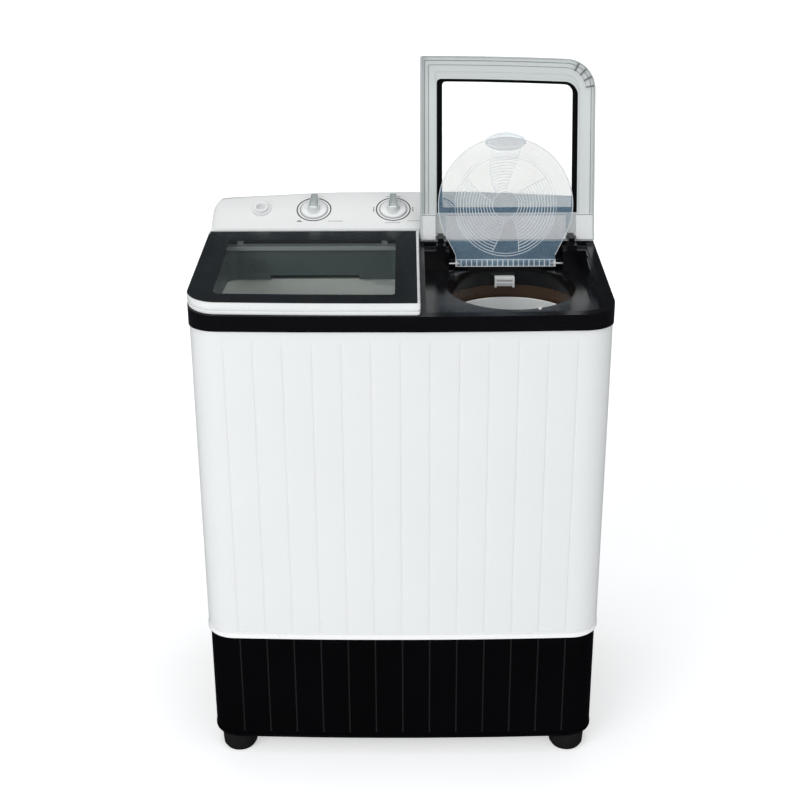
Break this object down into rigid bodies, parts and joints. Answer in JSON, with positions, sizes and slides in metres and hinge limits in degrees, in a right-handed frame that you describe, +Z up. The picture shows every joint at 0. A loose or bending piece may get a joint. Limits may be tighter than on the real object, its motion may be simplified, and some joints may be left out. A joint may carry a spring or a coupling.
{
  "type": "twin tub washing machine",
  "caption": "Free-standing twin tub washing machine: lidded wash tub with pulsator, spin basket under a spin lid and a clear safety lid, sloping control panel with dials.",
  "frame": {"origin": "middle of the footprint, at floor level under the feet", "axes": "+Z up, the bowed front faces -Y, +X to the right seen from the front (the spin side)"},
  "size_m": [0.78, 0.474, 1.3449],
  "materials": {
    "base": "satin black",
    "feet": "black",
    "cabinet": "white, semi-gloss",
    "back_cover": "pale grey",
    "cover_screws": "zinc plated",
    "cord_gland": "black",
    "top_deck": "gloss black",
    "tub_screws": "zinc plated",
    "wash_hinge_bar": "light grey",
    "spin_hinge_bar": "black",
    "lid_buffers": "white",
    "wash_tub": "light grey",
    "lint_filter": "white",
    "spin_well": "dark brown",
    "rinse_spout": "white",
    "shaft_seal": "black",
    "control_panel": "white, semi-gloss",
    "panel_screws": "zinc plated",
    "dial_rings": "dark grey print",
    "water_inlet": "white",
    "inlet_duct": "white",
    "wash_timer": "cream",
    "selector_switch": "dark grey",
    "spin_timer": "cream",
    "gearcase": "as cast",
    "wash_motor": "grey lacquer",
    "motor_mount": "galvanised",
    "motor_bolts": "zinc plated",
    "drive_belt": "black",
    "spin_motor": "grey lacquer",
    "spin_motor_bracket": "galvanised",
    "damper_springs": "spring steel",
    "capacitor": "cream",
    "drain_valve": "white",
    "drain_hoses": "dark grey",
    "drain_outlet": "black",
    "wash_lid_frame": "white, semi-gloss",
    "wash_lid_glass": "smoked",
    "wash_lid_border": "black",
    "wash_lid_pins": "bright",
    "spin_lid_frame": "white, semi-gloss",
    "spin_lid_glass": "clear",
    "spin_lid_border": "black",
    "spin_lid_pins": "bright",
    "inner_lid": "clear plastic, faintly blue",
    "inner_lid_pins": "bright",
    "wash_knob": "pale grey",
    "selector_knob": "pale grey",
    "spin_knob": "pale grey",
    "pulsator": "light grey",
    "pulsator_screw": "stainless",
    "wash_shaft": "ground",
    "driven_pulley": "cast",
    "motor_pulley": "turned",
    "spin_basket": "white",
    "spin_shaft": "ground",
    "brake_drum": "machined",
    "brake_lever": "zinc, yellow",
    "drain_plunger": "black"
  },
  "bodies": {
    "cabinet": {"base": "base", "feet": "feet", "cabinet": "cabinet", "back_cover": "back_cover", "cover_screws": "cover_screws", "cord_gland": "cord_gland", "top_deck": "top_deck", "tub_screws": "tub_screws", "wash_hinge_bar": "wash_hinge_bar", "spin_hinge_bar": "spin_hinge_bar", "lid_buffers": "lid_buffers", "wash_tub": "wash_tub", "lint_filter": "lint_filter", "spin_well": "spin_well", "rinse_spout": "rinse_spout", "shaft_seal": "shaft_seal", "control_panel": "control_panel", "panel_screws": "panel_screws", "dial_rings": "dial_rings", "water_inlet": "water_inlet", "inlet_duct": "inlet_duct", "wash_timer": "wash_timer", "selector_switch": "selector_switch", "spin_timer": "spin_timer", "gearcase": "gearcase", "wash_motor": "wash_motor", "motor_mount": "motor_mount", "motor_bolts": "motor_bolts", "drive_belt": "drive_belt", "spin_motor": "spin_motor", "spin_motor_bracket": "spin_motor_bracket", "damper_springs": "damper_springs", "capacitor": "capacitor", "drain_valve": "drain_valve", "drain_hoses": "drain_hoses", "drain_outlet": "drain_outlet"},
    "wash_lid": {"wash_lid_frame": "wash_lid_frame", "wash_lid_glass": "wash_lid_glass", "wash_lid_border": "wash_lid_border", "wash_lid_pins": "wash_lid_pins"},
    "spin_lid": {"spin_lid_frame": "spin_lid_frame", "spin_lid_glass": "spin_lid_glass", "spin_lid_border": "spin_lid_border", "spin_lid_pins": "spin_lid_pins"},
    "safety_lid": {"inner_lid": "inner_lid", "inner_lid_pins": "inner_lid_pins"},
    "wash_timer_knob": {"wash_knob": "wash_knob"},
    "selector": {"selector_knob": "selector_knob"},
    "spin_timer_knob": {"spin_knob": "spin_knob"},
    "pulsator_set": {"pulsator": "pulsator", "pulsator_screw": "pulsator_screw", "wash_shaft": "wash_shaft", "driven_pulley": "driven_pulley"},
    "motor_rotor": {"motor_pulley": "motor_pulley"},
    "spin_set": {"spin_basket": "spin_basket", "spin_shaft": "spin_shaft", "brake_drum": "brake_drum"},
    "brake": {"brake_lever": "brake_lever"},
    "drain": {"drain_plunger": "drain_plunger"}
  },
  "joints": [
    {"name": "wash_lid_hinge", "type": "hinge", "parent": "cabinet", "child": "wash_lid", "pos_m": [0, 0.11899, 0.99482], "axis": [-1, 0, 0], "range_deg": [0, 111.67]},
    {"name": "spin_lid_hinge", "type": "hinge", "parent": "cabinet", "child": "spin_lid", "pos_m": [0, 0.11899, 0.99482], "axis": [-1, 0, 0], "range_deg": [-111.67, 0]},
    {"name": "safety_lid_hinge", "type": "hinge", "parent": "cabinet", "child": "safety_lid", "pos_m": [0.21, 0.092, 0.943], "axis": [-1, 0, 0], "range_deg": [-107, 0]},
    {"name": "wash_timer_turn", "type": "hinge", "parent": "cabinet", "child": "wash_timer_knob", "pos_m": [-0.181, 0.186, 1.035], "axis": [0, -0.4813, 0.8766], "range_deg": [-300, 0]},
    {"name": "selector_turn", "type": "hinge", "parent": "cabinet", "child": "selector", "pos_m": [-0.017, 0.186, 1.035], "axis": [0, -0.4813, 0.8766], "range_deg": [-90, 0]},
    {"name": "spin_timer_turn", "type": "hinge", "parent": "cabinet", "child": "spin_timer_knob", "pos_m": [0.076, 0.186, 1.035], "axis": [0, -0.4813, 0.8766], "range_deg": [-300, 0]},
    {"name": "pulsator_spin", "type": "hinge", "parent": "cabinet", "child": "pulsator_set", "pos_m": [-0.175, -0.056, 0.44], "axis": [0, 0, 1], "continuous": true},
    {"name": "motor_spin", "type": "hinge", "parent": "cabinet", "child": "motor_rotor", "pos_m": [-0.3, 0.048, 0.309], "axis": [0, 0, 1], "continuous": true},
    {"name": "basket_spin", "type": "hinge", "parent": "cabinet", "child": "spin_set", "pos_m": [0.213, -0.022, 0.46], "axis": [0, 0, 1], "continuous": true},
    {"name": "brake_pivot", "type": "hinge", "parent": "cabinet", "child": "brake", "pos_m": [0.289, -0.022, 0.408], "axis": [0, 0, 1], "range_deg": [0, 8]},
    {"name": "drain_lift", "type": "slide", "parent": "cabinet", "child": "drain", "axis": [0, 0, 1], "range_m": [0, 0.012]}
  ],
  "couplings": [
    {"joint": "safety_lid_hinge", "follows": "spin_lid_hinge", "ratio": 0.95822},
    {"joint": "brake_pivot", "follows": "spin_lid_hinge", "ratio": -0.071642},
    {"joint": "motor_spin", "follows": "pulsator_spin", "ratio": 5.375},
    {"joint": "drain_lift", "follows": "selector_turn", "m_per_rad": -0.0076393}
  ]
}
